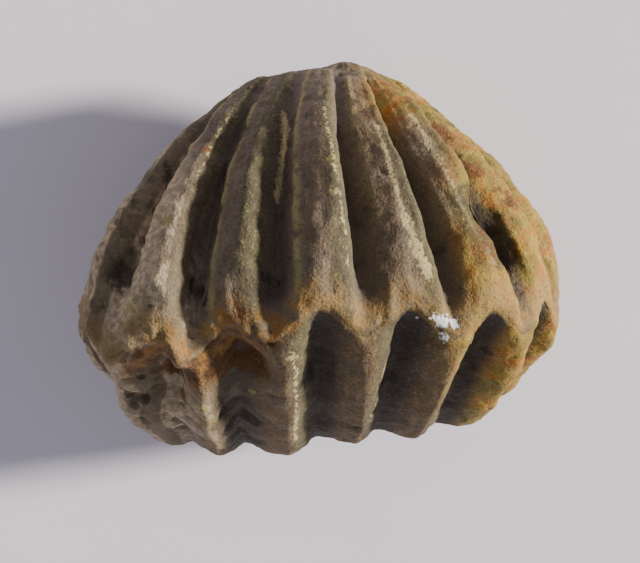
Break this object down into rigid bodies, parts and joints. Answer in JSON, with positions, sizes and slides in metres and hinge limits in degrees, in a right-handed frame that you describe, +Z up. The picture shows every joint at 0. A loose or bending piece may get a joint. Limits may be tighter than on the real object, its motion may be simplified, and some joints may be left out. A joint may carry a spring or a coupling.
{
  "type": "brachiopod fossil",
  "caption": "Nearly globular fossil brachiopod of solid stone, with coarse ribs fanning from the beaks over both shut valves to a zigzag margin; natural history specimen or display stone.",
  "frame": {"origin": "centre of the bounding box's footprint, on the surface the fossil rests on", "axes": "+Z is up, with the front margin uppermost as the fossil rests on its back; +X runs across the shell's width; +Y points to the side of the upper valve, -Y to the side of the lower valve"},
  "size_m": [0.025, 0.0212, 0.0206],
  "materials": {
    "fossil_stone": "matt, rough and granular"
  },
  "bodies": {
    "root": {"brachiopod_fossil": "fossil_stone"}
  },
  "joints": []
}
